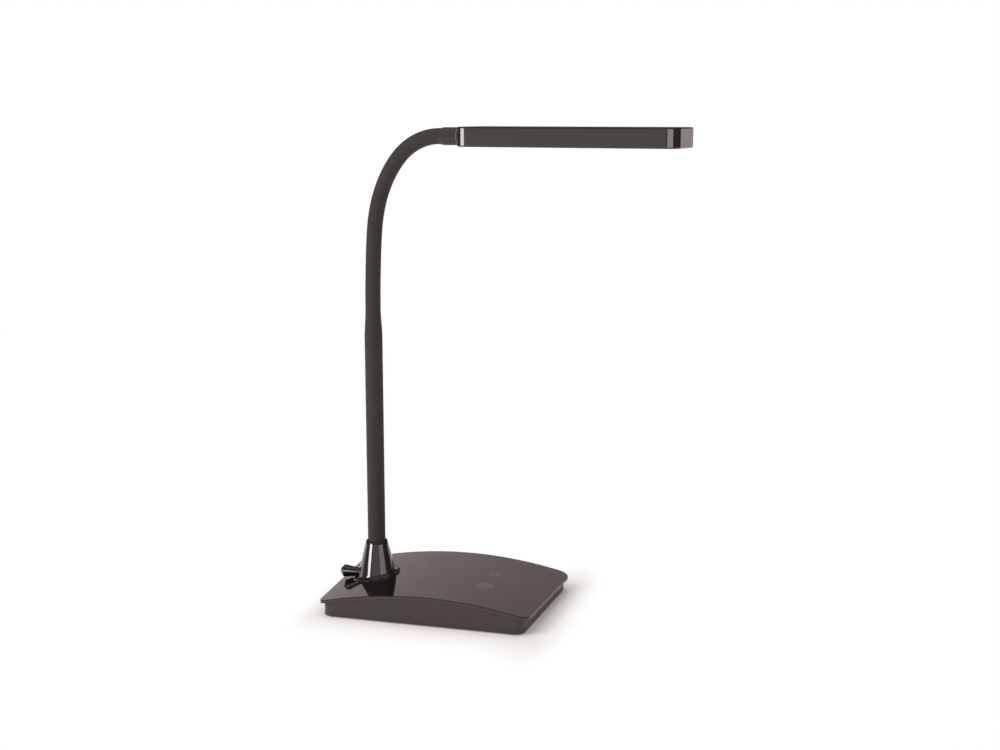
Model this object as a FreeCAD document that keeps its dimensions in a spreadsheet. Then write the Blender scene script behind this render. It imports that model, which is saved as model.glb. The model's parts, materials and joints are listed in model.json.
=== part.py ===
import FreeCAD, Part
import Sketcher
import math
import os
import re

# Gooseneck desk lamp: a heavy base with a crowned glossy plate and two touch fields, a cone
# shaped collar with a lock knob, a stiff stem, a bendable neck and a slim level light head.
# Millimetres. X runs along the base towards the tip of the head, Z is up, and the origin is the
# centre of the underside, on the desk.

# Driving dimensions: name, value, what it is
SIZES = [
    ("base_length", 212, "base plate from end to end, at mid depth"),
    ("base_depth", 144, "base plate from front to back"),
    ("end_splay", 3.2, "each end of the base leans outwards towards the back, degrees"),
    ("corner_radius", 11, "upright corners of the base plate"),
    ("crown_height", 28.2, "highest line of the base plate above the desk"),
    ("crown_shift", 4.7, "that line along the base, from the middle"),
    ("arch_radius", 427, "curve of the base plate's top along its length"),
    ("plate_thickness", 3, "base plate"),
    ("plate_edge", 0.8, "rounded top edge of the base plate"),
    ("housing_inset", 4.4, "base tray behind the plate's ends"),
    ("housing_reveal", 0.8, "base tray behind the plate's long edges"),
    ("tray_wall", 2.4, "wall of the base tray"),
    ("tray_floor", 2.2, "floor of the base tray"),
    ("pad_thickness", 1.2, "non-slip pad under the base"),
    ("pad_length", 150, "non-slip pad"),
    ("pad_width", 92, "non-slip pad"),
    ("screw_pitch_length", 176, "base screws, centre to centre along the base"),
    ("screw_pitch_depth", 116, "base screws, centre to centre across the base"),
    ("screw_radius", 1.45, "base screw shank"),
    ("screw_head_radius", 2.8, "base screw head"),
    ("screw_head_height", 2, "base screw head"),
    ("screw_length", 10, "base screw shank under its head"),
    ("boss_wall", 2.1, "plastic round each base screw"),
    ("boss_split_height", 9, "where the tray's posts meet the plate's bosses"),
    ("head_recess", 3, "depth that a base screw's head lies in from below"),
    ("fit_gap", 0.05, "radial running or assembly clearance"),
    ("seat_gap", 0.3, "gap beside a piece that lies loose in its place"),
    ("ballast_thickness", 5, "steel weight"),
    ("ballast_margin", 3.8, "room between the steel weight and the inlet or the collar's nut"),
    ("touch_reach", 47, "middle of the touch fields, from the middle of the base"),
    ("touch_spacing", 35, "touch field to touch field"),
    ("icon_radius", 7, "outer radius of a touch field's mark"),
    ("icon_line", 0.6, "line width of the marks"),
    ("icon_depth", 0.3, "depth of the inlaid marks"),
    ("board_length", 54, "control board along the base"),
    ("board_width", 60, "control board across the base"),
    ("board_thickness", 1.6, "control board"),
    ("board_height", 12, "underside of the control board above the desk"),
    ("board_pitch", 44, "control board screws, centre to centre"),
    ("board_post_radius", 2.6, "posts under the control board"),
    ("board_screw_radius", 1, "control board screws"),
    ("board_screw_length", 6.6, "control board screws"),
    ("chip_side", 7, "controller on the board"),
    ("chip_height", 1.2, "controller on the board"),
    ("connector_length", 9, "lead's connector on the board"),
    ("connector_height", 4, "lead's connector on the board"),
    ("coil_radius", 3.5, "coil below the board"),
    ("coil_height", 2.6, "coil below the board"),
    ("spring_radius", 4.5, "touch springs"),
    ("spring_wall", 0.8, "touch springs"),
    ("inlet_reach", -40, "power inlet along the base"),
    ("inlet_height", 10.5, "power inlet axis above the desk"),
    ("inlet_bore", 3.1, "radius of the power inlet's socket"),
    ("inlet_nose", 4.2, "outer radius of the power inlet's nose"),
    ("inlet_block", 9.4, "square housing of the power inlet"),
    ("inlet_length", 13, "power inlet from its back to the inside of the wall"),
    ("inlet_pin", 1, "radius of the power inlet's centre pin"),
    ("stem_reach", -68.3, "stem axis along the base"),
    ("collar_height", 56.9, "top rim of the collar above the desk"),
    ("collar_top_radius", 10.4, "collar at its rim"),
    ("collar_cone_radius", 18.6, "collar where its cone meets its foot"),
    ("collar_foot_radius", 23, "foot of the collar on the plate"),
    ("collar_foot_height", 3, "flared foot of the collar, square to the plate"),
    ("collar_foot_edge", 0.4, "thickness of the foot at its rim"),
    ("collar_rim", 1, "rounded rim of the collar"),
    ("shank_radius", 10, "threaded shank of the collar below the plate"),
    ("shank_bottom", 10.2, "end of the shank above the desk"),
    ("clamp_height", 15, "flat seat under the plate for the washer"),
    ("clamp_radius", 16, "boss under the plate for the washer"),
    ("washer_thickness", 1, "collar washer"),
    ("washer_radius", 14.5, "collar washer"),
    ("nut_height", 3.4, "collar nut"),
    ("nut_radius", 15, "collar nut across its corners, half"),
    ("bush_radius", 7, "outer radius of the swivel bush"),
    ("bush_top", 50.9, "top of the swivel bush above the desk"),
    ("bush_flange", 1, "flange of the swivel bush"),
    ("tube_radius", 5.8, "stem tube"),
    ("tube_wall", 1.2, "stem tube"),
    ("clip_thickness", 0.8, "retaining clip on the stem tube"),
    ("clip_radius", 8, "retaining clip"),
    ("stem_radius", 8.5, "rubber cover of the stem"),
    ("taper_drop", 28.4, "start of the narrowing, below the first bending point"),
    ("taper_length", 23.5, "narrowing of the stem's cover"),
    ("neck_start_height", 287, "first bending point of the neck above the desk"),
    ("neck_radius", 7.25, "rubber cover of the neck"),
    ("neck_wall", 1.5, "rubber cover of the neck"),
    ("hose_radius", 5.3, "steel gooseneck hose"),
    ("hose_wall", 1.4, "steel gooseneck hose"),
    ("lead_radius", 1.6, "lead inside the stem and neck"),
    ("link_length", 24.25, "one bending link of the neck"),
    ("neck_bend_angle_1", 2, "bend of each link at rest, degrees"),
    ("neck_bend_angle_2", 0.5, "bend at rest"),
    ("neck_bend_angle_3", 2.6, "bend at rest"),
    ("neck_bend_angle_4", 9.4, "bend at rest"),
    ("neck_bend_angle_5", 11.7, "bend at rest"),
    ("neck_bend_angle_6", 13.8, "bend at rest"),
    ("neck_bend_angle_7", 24.2, "bend at rest"),
    ("neck_bend_angle_8", 25.8, "bend at rest"),
    ("arm_angle", -7, "arm turned towards the front about the stem at rest, degrees"),
    ("ball_radius", 8, "rounded lower end of each link about its bending point"),
    ("cup_radius", 8.3, "hollow upper end of each link about the next bending point"),
    ("knob_bearing", 180, "direction of the lock knob round the stem, degrees"),
    ("knob_height", 22.5, "lock knob axis above the desk"),
    ("knob_start", 20, "inner end of the lock knob from the stem axis"),
    ("knob_length", 16, "lock knob"),
    ("knob_radius", 4.5, "lock knob at its outer end"),
    ("knob_neck_radius", 4.25, "lock knob at its inner end"),
    ("knob_round", 3.8, "domed outer end of the lock knob"),
    ("lock_screw_radius", 2, "shank of the lock screw"),
    ("ferrule_radius", 8.1, "ferrule at the end of the neck"),
    ("ferrule_start", 1.6, "ferrule from the last bending point"),
    ("ferrule_tail", 6, "ferrule inside the head"),
    ("ferrule_tail_radius", 6.6, "ferrule inside the head"),
    ("ferrule_nut_radius", 7.5, "nut inside the head, across its corners, half"),
    ("ferrule_nut_height", 3.5, "nut inside the head"),
    ("head_start", 26.8, "near end of the head from the last bending point"),
    ("head_length", 204.5, "light head"),
    ("head_width", 58, "light head"),
    ("head_thickness", 17.6, "light head"),
    ("head_corner", 10, "corners of the light head seen from above"),
    ("head_edge", 1.3, "rounded edges of the light head"),
    ("head_wall", 1.8, "shell of the light head"),
    ("frame_thickness", 2, "frame that closes the head from below"),
    ("window_length", 160, "window in the frame"),
    ("window_width", 38, "window in the frame"),
    ("diffuser_thickness", 2, "diffuser"),
    ("diffuser_lap", 2.5, "diffuser over the frame, each side"),
    ("reflector_wall", 0.8, "reflector tray"),
    ("strip_width", 14, "LED board"),
    ("strip_thickness", 1.2, "LED board"),
    ("led_side", 3, "one LED"),
    ("led_height", 0.8, "one LED"),
    ("led_count", 24, "LEDs in the head"),
    ("heat_plate_thickness", 1.5, "aluminium plate behind the LED board"),
    ("head_post_radius", 3.2, "screw posts in the head"),
    ("head_screw_radius", 1.2, "head screw shank"),
    ("head_screw_length", 7, "head screw with its head"),
    ("head_screw_head", 2.2, "head screw head radius"),
    ("head_screw_inset", 10, "head screws from the long sides of the head"),
]

doc = FreeCAD.newDocument("gooseneck_desk_lamp")
sheet = doc.addObject("Spreadsheet::Sheet", "Sizes")
for row, (alias, number, note) in enumerate(SIZES, start=1):
    sheet.set("A%d" % row, alias)
    sheet.set("B%d" % row, str(number))
    sheet.setAlias("B%d" % row, alias)
    sheet.set("C%d" % row, note)
doc.recompute()

ALIASES = {alias for alias, number, note in SIZES}
UP = FreeCAD.Vector(0, 0, 1)
SIDE = FreeCAD.Vector(0, 1, 0)
AHEAD = FreeCAD.Vector(1, 0, 0)


# Formulas, placements and small helpers

def formula(text):
    """Write a formula of size names as an expression on the sheet."""
    return re.sub(r"[a-z_][a-z_0-9]*", lambda word: "Sizes." + word[0] if word[0] in ALIASES else word[0],
                  str(text))


def value(text):
    """Work out a formula of size names."""
    return float(sheet.evalExpression(formula(text)))


def place(x=0, y=0, z=0, rotation=None):
    """A placement whose position is given by three formulas."""
    return FreeCAD.Placement(FreeCAD.Vector(value(x), value(y), value(z)), rotation or FreeCAD.Rotation())


def stand(piece, x=0, y=0, z=0, rotation=None):
    """Set a piece at a position bound to the sheet, with a fixed rotation."""
    piece.Placement = place(x, y, z, rotation)
    for axis, text in (("x", x), ("y", y), ("z", z)):
        if text != 0:
            piece.setExpression("Placement.Base." + axis, formula(text))
    return piece


def primitive(kind, name, sizes, x=0, y=0, z=0, rotation=None):
    """A Part primitive whose sizes and position are bound to the sheet."""
    piece = doc.addObject("Part::" + kind, name)
    for prop, text in sizes.items():
        piece.setExpression(prop, formula(text))
    return stand(piece, x, y, z, rotation)


def cylinder(name, radius, height, x=0, y=0, z=0, rotation=None):
    return primitive("Cylinder", name, {"Radius": radius, "Height": height}, x, y, z, rotation)


def block(name, length, width, height, x=0, y=0, z=0):
    """A box centred on x and y that stands on z."""
    sizes = {"Length": length, "Width": width, "Height": height}
    return primitive("Box", name, sizes, f"({x}) - ({length}) / 2", f"({y}) - ({width}) / 2", z)


def cut(name, base, *tools):
    """Take one or more tools away from a base."""
    piece = doc.addObject("Part::Cut", name)
    piece.Base = base
    piece.Tool = tools[0] if len(tools) == 1 else group(name + "_tools", *tools)
    return piece


def common(name, *shapes):
    piece = doc.addObject("Part::MultiCommon", name)
    piece.Shapes = list(shapes)
    return piece


def fuse(name, *shapes):
    piece = doc.addObject("Part::MultiFuse", name)
    piece.Shapes = list(shapes)
    piece.Refine = True
    return piece


def group(name, *shapes):
    """Several separate solids as one sub-part or one tool."""
    piece = doc.addObject("Part::Compound", name)
    piece.Links = list(shapes)
    return piece


def formed(name, shape, placement):
    """A sub-part whose shape comes from Part's own functions."""
    piece = doc.addObject("Part::Feature", name)
    piece.Label = name
    piece.Shape = shape
    piece.Placement = placement
    return piece


# Sketched bodies

def sketch_on(body, role, height=0):
    """A sketch on one of the body's origin planes, raised by a formula."""
    sketch = body.newObject("Sketcher::SketchObject", body.Name + "_sketch")
    plane = [feature for feature in body.Origin.OriginFeatures if feature.Role == role][0]
    sketch.AttachmentSupport = [(plane, "")]
    sketch.MapMode = "FlatFace"
    if height != 0:
        sketch.setExpression("AttachmentOffset.Base.z", formula(height))
    return sketch


def outline(sketch, corners):
    """Closed straight outline; each corner is a pair of formulas."""
    first = sketch.GeometryCount
    count = len(corners)
    points = [FreeCAD.Vector(value(x), value(y), 0) for x, y in corners]
    for i in range(count):
        sketch.addGeometry(Part.LineSegment(points[i], points[(i + 1) % count]), False)
    for i in range(count):
        sketch.addConstraint(Sketcher.Constraint("Coincident", first + i, 2, first + (i + 1) % count, 1))
    for i, (x, y) in enumerate(corners):
        for kind, text, number in (("DistanceX", x, points[i].x), ("DistanceY", y, points[i].y)):
            index = sketch.addConstraint(Sketcher.Constraint(kind, -1, 1, first + i, 1, number))
            sketch.setExpression("Constraints[%d]" % index, formula(text))


def turned(name, profile, x=0, y=0, z=0, rotation=None):
    """A body turned about Z from a profile of radius and height."""
    body = doc.addObject("PartDesign::Body", name)
    sketch = sketch_on(body, "XZ_Plane")
    outline(sketch, profile)
    turn = body.newObject("PartDesign::Revolution", name + "_turn")
    turn.Profile = sketch
    turn.ReferenceAxis = (sketch, ["V_Axis"])
    turn.Angle = 360
    return stand(body, x, y, z, rotation)


def upright_edges(shape):
    return ["Edge%d" % i for i, edge in enumerate(shape.Edges, start=1)
            if abs(abs(edge.tangentAt(edge.FirstParameter).z) - 1) < 1e-6]


def slab(name, corners, height, raised=0, corner=None):
    """A body padded up from an outline, with its upright edges rounded."""
    body = doc.addObject("PartDesign::Body", name)
    sketch = sketch_on(body, "XY_Plane", raised)
    outline(sketch, corners)
    pad = body.newObject("PartDesign::Pad", name + "_pad")
    pad.Profile = sketch
    pad.setExpression("Length", formula(height))
    doc.recompute()
    if corner is not None:
        rounding = body.newObject("PartDesign::Fillet", name + "_corners")
        rounding.Base = (pad, upright_edges(pad.Shape))
        rounding.setExpression("Radius", formula(corner))
    doc.recompute()
    return body


def base_outline(end_inset, side_inset):
    """Plan of the base: straight front and back, ends that lean out towards the back."""
    half = f"(base_depth / 2 - ({side_inset}))"
    front = f"(base_length / 2 - tan(end_splay) * {half} - ({end_inset}))"
    back = f"(base_length / 2 + tan(end_splay) * {half} - ({end_inset}))"
    return [(f"-{front}", f"-{half}"), (front, f"-{half}"), (back, half), (f"-{back}", half)]


def rectangle(length, width, x=0):
    left, right = f"({x}) - ({length}) / 2", f"({x}) + ({length}) / 2"
    return [(left, f"-({width}) / 2"), (right, f"-({width}) / 2"), (right, f"({width}) / 2"),
            (left, f"({width}) / 2")]


LYING = FreeCAD.Rotation(AHEAD, 90)


def arch(name, depth):
    """The solid below the crowned top, lowered by a depth: a cylinder that lies across the base."""
    return cylinder(name, f"arch_radius - ({depth})", "base_depth * 2",
                    "crown_shift", "base_depth", "crown_height - arch_radius", LYING)


def arch_height(x):
    """Formula for the height of the crowned surface over a place along the base."""
    return f"(crown_height - arch_radius + sqrt(arch_radius ^ 2 - ({x} - crown_shift) ^ 2))"


def at_corners(pitch_length, pitch_depth, x=0):
    """The four corner places of a rectangle of holes, as formulas."""
    return [(f"{x} + {i} * ({pitch_length}) / 2", f"{j} * ({pitch_depth}) / 2")
            for i in (-1, 1) for j in (-1, 1)]


# Base: crowned plate, tray, weight, pad and screws

def round_edge_names(shape, test):
    return ["Edge%d" % i for i, edge in enumerate(shape.Edges, start=1) if test(edge)]


def filleted(name, base, radius, test):
    """Round those edges of a shape that pass a test, as far as the wall allows."""
    doc.recompute()
    piece = doc.addObject("Part::Fillet", name)
    piece.Base = base
    size = value(radius)
    piece.Edges = [(int(edge[4:]), size, size) for edge in round_edge_names(base.Shape, test)]
    return piece


PAD_TOP = "pad_thickness"
FLOOR_TOP = "(pad_thickness + tray_floor)"
SCREW_PLACES = at_corners("screw_pitch_length", "screw_pitch_depth")
BOARD_PLACES = at_corners("board_pitch", "board_pitch", "touch_reach")
TOUCH_PLACES = [("touch_reach", "-touch_spacing / 2"), ("touch_reach", "touch_spacing / 2")]


def touch_marks(name, depth_top, depth_bottom):
    """Power mark and brightness mark as flat lines that follow the crowned plate."""
    height = "crown_height + 2"
    solids = []
    for i, (x, y) in enumerate(TOUCH_PLACES):
        radius = "icon_radius" if i == 0 else "icon_radius * 0.5"
        outer = cylinder(f"{name}_ring_{i}", radius, height, x, y)
        inner = cylinder(f"{name}_ring_hole_{i}", f"{radius} - icon_line", height, x, y)
        solids.append(cut(f"{name}_circle_{i}", outer, inner))
    x, y = TOUCH_PLACES[0]
    mark_outer = cylinder(f"{name}_mark", "icon_radius * 0.5", height, x, y)
    mark_inner = cylinder(f"{name}_mark_hole", "icon_radius * 0.5 - icon_line", height, x, y)
    mark_gap = block(f"{name}_mark_gap", "icon_line * 2.6", "icon_radius", height, x,
                     f"{y} + icon_radius / 2")
    solids.append(cut(f"{name}_mark_circle", mark_outer, mark_inner, mark_gap))
    solids.append(block(f"{name}_stroke", "icon_line", "icon_radius * 0.5", height, x,
                        f"{y} + icon_radius * 0.4"))
    x, y = TOUCH_PLACES[1]
    for i in range(8):
        ray = doc.addObject("Part::Box", f"{name}_ray_{i}")
        for prop, text in (("Length", "icon_radius * 0.35"), ("Width", "icon_line"), ("Height", height)):
            ray.setExpression(prop, formula(text))
        angle = 45 * i
        ray.Placement = FreeCAD.Placement(FreeCAD.Vector(), FreeCAD.Rotation(UP, angle))
        reach, half = "icon_radius * 0.7", "icon_line / 2"
        ray.setExpression("Placement.Base.x",
                          formula(f"{x} + cos({angle}) * {reach} + sin({angle}) * {half}"))
        ray.setExpression("Placement.Base.y",
                          formula(f"{y} + sin({angle}) * {reach} - cos({angle}) * {half}"))
        solids.append(ray)
    lines = group(f"{name}_lines", *solids)
    skin = cut(f"{name}_skin", arch(f"{name}_over", depth_top), arch(f"{name}_under", depth_bottom))
    return common(name, lines, skin)


def base_cover(marks):
    blank = slab("cover_blank", base_outline(0, 0), "crown_height + 2", corner="corner_radius")
    shell = cut("cover_shell", common("cover_crown", blank, arch("cover_top", 0)),
                arch("cover_underside", "plate_thickness"))
    middle, low = value("crown_shift"), value("crown_height - arch_radius")

    def on_top_rim(edge):
        reaches = [math.hypot(v.X - middle, v.Z - low) for v in edge.Vertexes]
        return len(reaches) == 2 and all(abs(reach - value("arch_radius")) < 1e-4 for reach in reaches)

    plate = filleted("cover_plate", shell, "plate_edge", on_top_rim)
    under = arch("cover_boss_limit", "plate_thickness / 2")
    bosses = [cylinder(f"cover_boss_{i}", "screw_radius + boss_wall", "crown_height - boss_split_height",
                       x, y, "boss_split_height") for i, (x, y) in enumerate(SCREW_PLACES)]
    clamp = cylinder("cover_clamp", "clamp_radius", "crown_height - clamp_height", "stem_reach", 0,
                     "clamp_height")
    bosses_below = common("cover_bosses", group("cover_boss_group", clamp, *bosses), under)
    pilot_bottom = "boss_split_height - 1"
    pilot_depth = f"{PAD_TOP} + head_recess + screw_length + seat_gap - ({pilot_bottom})"
    holes = [cylinder(f"cover_pilot_{i}", "screw_radius + fit_gap", pilot_depth, x, y, pilot_bottom)
             for i, (x, y) in enumerate(SCREW_PLACES)]
    stem_hole = cylinder("cover_stem_hole", "shank_radius + fit_gap", "crown_height * 2", "stem_reach")
    return cut("base_cover", fuse("cover_whole", plate, bosses_below), stem_hole, marks, *holes)


def base_housing():
    outer = slab("tray_blank", base_outline("housing_inset", "housing_reveal"), "crown_height", PAD_TOP,
                 "corner_radius - housing_reveal")
    inner = slab("tray_hollow", base_outline("housing_inset + tray_wall", "housing_reveal + tray_wall"),
                 "crown_height", FLOOR_TOP, "corner_radius - housing_reveal - tray_wall")
    walls = common("tray_walls", cut("tray_open", outer, inner), arch("tray_top", "plate_thickness"))
    posts = [cylinder(f"tray_post_{i}", "screw_head_radius + seat_gap + boss_wall",
                      f"boss_split_height - {PAD_TOP}",
                      x, y, PAD_TOP) for i, (x, y) in enumerate(SCREW_PLACES)]
    board_posts = [cylinder(f"board_post_{i}", "board_post_radius", f"board_height - {PAD_TOP}", x, y,
                            PAD_TOP)
                   for i, (x, y) in enumerate(BOARD_PLACES)]
    body = fuse("tray_body", walls, *posts, *board_posts)
    holes = []
    for i, (x, y) in enumerate(SCREW_PLACES):
        holes.append(cylinder(f"tray_hole_{i}", "screw_radius + seat_gap", "crown_height", x, y))
        holes.append(cylinder(f"tray_recess_{i}", "screw_head_radius + seat_gap", f"head_recess + {PAD_TOP}",
                              x, y))
    for i, (x, y) in enumerate(BOARD_PLACES):
        holes.append(cylinder(f"board_pilot_{i}", "board_screw_radius + fit_gap",
                              "board_height - tray_floor", x, y,
                              f"{FLOOR_TOP} + 0.6"))
    nose = cylinder("tray_inlet_hole", "inlet_nose + fit_gap", "base_depth", "inlet_reach", "base_depth",
                    "inlet_height", LYING)
    return cut("base_housing", body, nose, *holes)


def base_screws():
    screws = []
    for i, (x, y) in enumerate(SCREW_PLACES):
        profile = [(0, 0), ("screw_head_radius", 0), ("screw_head_radius", "screw_head_height"),
                   ("screw_radius", "screw_head_height"),
                   ("screw_radius", "screw_head_height + screw_length"),
                   (0, "screw_head_height + screw_length")]
        screws.append(turned(f"base_screw_{i}", profile, x, y,
                             f"{PAD_TOP} + head_recess - screw_head_height"))
    return group("base_screws", *screws)


def ballast_plate():
    """A steel weight beside the collar's nut, between the inlet's wall and the screw posts."""
    left = "(stem_reach + nut_radius + ballast_margin)"
    right = "(screw_pitch_length / 2 - screw_head_radius - boss_wall - 2 * seat_gap)"
    width = "(base_depth - 2 * (housing_reveal + tray_wall + inlet_length + ballast_margin))"
    plate = slab("ballast_blank", rectangle(f"({right} - {left})", width, f"({right} + {left}) / 2"),
                 "ballast_thickness", FLOOR_TOP, "corner_radius / 2")
    holes = [cylinder(f"ballast_hole_{i}", "board_post_radius + seat_gap", "crown_height", x, y)
             for i, (x, y) in enumerate(BOARD_PLACES)]
    return cut("ballast_plate", plate, *holes)


def control_board():
    blank = slab("board_blank", rectangle("board_length", "board_width", "touch_reach"), "board_thickness",
                 "board_height", "2")
    holes = [cylinder(f"board_hole_{i}", "board_screw_radius + fit_gap", "crown_height", x, y)
             for i, (x, y) in enumerate(BOARD_PLACES)]
    return cut("control_board", blank, *holes)


def board_components():
    """Controller, connector and small parts; places are shares of the board from its middle."""
    sizes = [("chip_side", "chip_side", "chip_height", 0, 0),
             ("chip_side * 0.7", "chip_side * 0.6", "chip_height", -0.19, 0.17),
             ("connector_length", "connector_length * 0.6", "connector_height", -0.35, -0.03),
             ("chip_side * 0.4", "chip_side * 0.8", "chip_height", 0.26, -0.1),
             ("chip_side * 0.4", "chip_side * 0.4", "chip_height", 0.17, 0.13)]
    blocks = [block(f"component_{i}", length, width, height, f"touch_reach + {x} * board_length",
                    f"{y} * board_width", "board_height + board_thickness")
              for i, (length, width, height, x, y) in enumerate(sizes)]
    coil = cylinder("component_coil", "coil_radius", "coil_height", "touch_reach - 0.15 * board_length",
                    "-0.17 * board_width", "board_height - coil_height")
    return group("board_components", coil, *blocks)


def board_screws():
    screws = []
    for i, (x, y) in enumerate(BOARD_PLACES):
        length = "board_screw_length"
        profile = [(0, f"-({length})"), ("board_screw_radius", f"-({length})"), ("board_screw_radius", 0),
                   ("board_screw_radius * 1.9", 0), ("board_screw_radius * 1.9", 1.2), (0, 1.2)]
        screws.append(turned(f"board_screw_{i}", profile, x, y, "board_height + board_thickness"))
    return group("board_screws", *screws)


def touch_springs():
    springs = []
    for i, (x, y) in enumerate(TOUCH_PLACES):
        z = "board_height + board_thickness"
        outer = cylinder(f"spring_{i}", "spring_radius", "crown_height", x, y, z)
        inner = cylinder(f"spring_bore_{i}", "spring_radius - spring_wall", "crown_height", x, y, z)
        springs.append(cut(f"spring_tube_{i}", outer, inner))
    limit = arch("spring_limit", "plate_thickness + fit_gap")
    return common("touch_springs", group("spring_pair", *springs), limit)


def dc_inlet():
    wall_inside = "(base_depth / 2 - housing_reveal - tray_wall)"
    body = block("inlet_body", "inlet_block", "inlet_length", "inlet_block", "inlet_reach",
                 f"{wall_inside} - inlet_length / 2", "inlet_height - inlet_block / 2")
    nose = cylinder("inlet_front", "inlet_nose", "tray_wall + 1", "inlet_reach",
                    "base_depth / 2 - housing_reveal - 0.2",
                    "inlet_height", LYING)
    socket = cylinder("inlet_socket", "inlet_bore", "inlet_length + tray_wall - 3", "inlet_reach",
                      "base_depth / 2", "inlet_height", LYING)
    return cut("dc_inlet", fuse("inlet_whole", body, nose), socket)


def inlet_contact():
    length = "inlet_length + tray_wall - 5"
    return cylinder("inlet_contact", "inlet_pin", length, "inlet_reach",
                    f"base_depth / 2 - inlet_length - tray_wall + 3 + {length}", "inlet_height", LYING)


def foot_pad():
    return slab("foot_pad", rectangle("pad_length", "pad_width"), PAD_TOP, corner="corner_radius")


# Collar: cone on the plate, clamped from below, with the swivel bush and the lock knob

def ring_at(name, radius, x, z, rotation=None):
    return primitive("Circle", name, {"Radius": radius}, x, 0, z, rotation)


def collar():
    """A cone skewed from its level rim to a foot that lies on the sloping plate."""
    lean = "(crown_shift - stem_reach) / arch_radius"
    tilt = FreeCAD.Rotation(SIDE, -math.degrees(math.asin(value(lean))))
    seat = arch_height("stem_reach")
    cone = doc.addObject("Part::Loft", "collar_cone")
    cone.Sections = [
        ring_at("collar_cone_ring", "collar_cone_radius", f"stem_reach - collar_foot_height * {lean}",
                f"{seat} + collar_foot_height * sqrt(1 - ({lean}) ^ 2)", tilt),
        ring_at("collar_rim_ring", "collar_top_radius", "stem_reach", "collar_height")]
    cone.Solid = True
    cone.Ruled = True
    rounded = filleted("collar_rounded", cone, "collar_rim",
                       lambda edge: abs(edge.BoundBox.ZMin - value("collar_height")) < 1e-6)
    step = "(collar_foot_radius - collar_cone_radius)"
    rise = "(collar_foot_height - collar_foot_edge)"
    foot = turned("collar_foot", [
        (0, "-collar_foot_edge * 3"), ("collar_foot_radius", "-collar_foot_edge * 3"),
        ("collar_foot_radius", "collar_foot_edge"),
        (f"collar_cone_radius + {step} * 0.5", f"collar_foot_edge + {rise} * 0.13"),
        (f"collar_cone_radius + {step} * 0.13", f"collar_foot_edge + {rise} * 0.5"),
        ("collar_cone_radius", "collar_foot_height"), (0, "collar_foot_height")], "stem_reach", 0, seat, tilt)
    above = cut("collar_above", fuse("collar_outer", rounded, foot), arch("collar_seat", 0))
    shank = cylinder("collar_shank", "shank_radius", f"{seat} - shank_bottom + 1", "stem_reach", 0,
                     "shank_bottom")
    bore = cylinder("collar_bore", "bush_radius + fit_gap", "collar_height", "stem_reach", 0,
                    "bush_top - collar_height")
    mouth = cylinder("collar_mouth", "stem_radius + seat_gap", "collar_height", "stem_reach", 0, "bush_top")
    screw_hole = cylinder("collar_screw_hole", "lock_screw_radius + fit_gap", "collar_foot_radius + 4",
                          "stem_reach", 0,
                          "knob_height", radial_rotation())
    knob_room = primitive("Cylinder", "collar_knob_room",
                          {"Radius": "knob_radius + seat_gap", "Height": "knob_length"},
                          "stem_reach + (knob_start - seat_gap) * cos(knob_bearing)",
                          "(knob_start - seat_gap) * sin(knob_bearing)", "knob_height", radial_rotation())
    return cut("collar", fuse("collar_whole", above, shank), bore, mouth, screw_hole, knob_room)


def radial_rotation():
    """Turns Z into the horizontal direction in which the lock knob points."""
    return FreeCAD.Rotation(UP, value("knob_bearing")).multiply(FreeCAD.Rotation(SIDE, 90))


def collar_washer():
    z = "clamp_height - washer_thickness"
    ring = cylinder("washer_ring", "washer_radius", "washer_thickness", "stem_reach", 0, z)
    return cut("collar_washer", ring, cylinder("washer_hole", "shank_radius + fit_gap", "washer_thickness",
                                               "stem_reach", 0, z))


def collar_nut():
    z = "clamp_height - washer_thickness - nut_height"
    nut = doc.addObject("Part::Prism", "nut_blank")
    nut.Polygon = 6
    nut.setExpression("Circumradius", formula("nut_radius"))
    nut.setExpression("Height", formula("nut_height"))
    stand(nut, "stem_reach", 0, z)
    return cut("collar_nut", nut, cylinder("nut_thread", "shank_radius + fit_gap", "nut_height", "stem_reach",
                                           0, z))


def swivel_bush():
    bore = "tube_radius + fit_gap"
    bottom = "shank_bottom - bush_flange"
    sleeve = turned("bush_sleeve", [
        (bore, bottom), ("shank_radius - 0.4", bottom), ("shank_radius - 0.4", "shank_bottom"),
        ("bush_radius", "shank_bottom"), ("bush_radius", "bush_top"), (bore, "bush_top")], "stem_reach")
    hole = cylinder("bush_window", "lock_screw_radius + fit_gap", "bush_radius + 2", "stem_reach", 0,
                    "knob_height", radial_rotation())
    return cut("swivel_bush", sleeve, hole)


def lock_knob():
    start, end = "knob_start", "knob_start + knob_length"
    profile = [(0, start), ("knob_neck_radius", start), ("knob_radius", f"{end} - knob_round"),
               ("knob_radius - knob_round * (1 - cos(30))", f"{end} - knob_round * (1 - sin(30))"),
               ("knob_radius - knob_round * (1 - cos(60))", f"{end} - knob_round * (1 - sin(60))"),
               ("knob_radius - knob_round", end), (0, end)]
    grip = turned("knob_grip", profile, "stem_reach", 0, "knob_height", radial_rotation())
    socket = cylinder("knob_socket", "lock_screw_radius + fit_gap", "knob_start + knob_length * 0.6",
                      "stem_reach", 0, "knob_height", radial_rotation())
    return cut("lock_knob", grip, socket)


def lock_screw():
    start, end = "tube_radius + seat_gap", "knob_start + knob_length * 0.6"
    tip = "lock_screw_radius * 0.6"
    profile = [(0, start), (tip, start), ("lock_screw_radius", f"{start} + 1"), ("lock_screw_radius", end),
               (0, end)]
    return turned("lock_screw", profile, "stem_reach", 0, "knob_height", radial_rotation())


# Stem: tube that turns in the bush, its rubber cover, its clip and the lead

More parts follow.
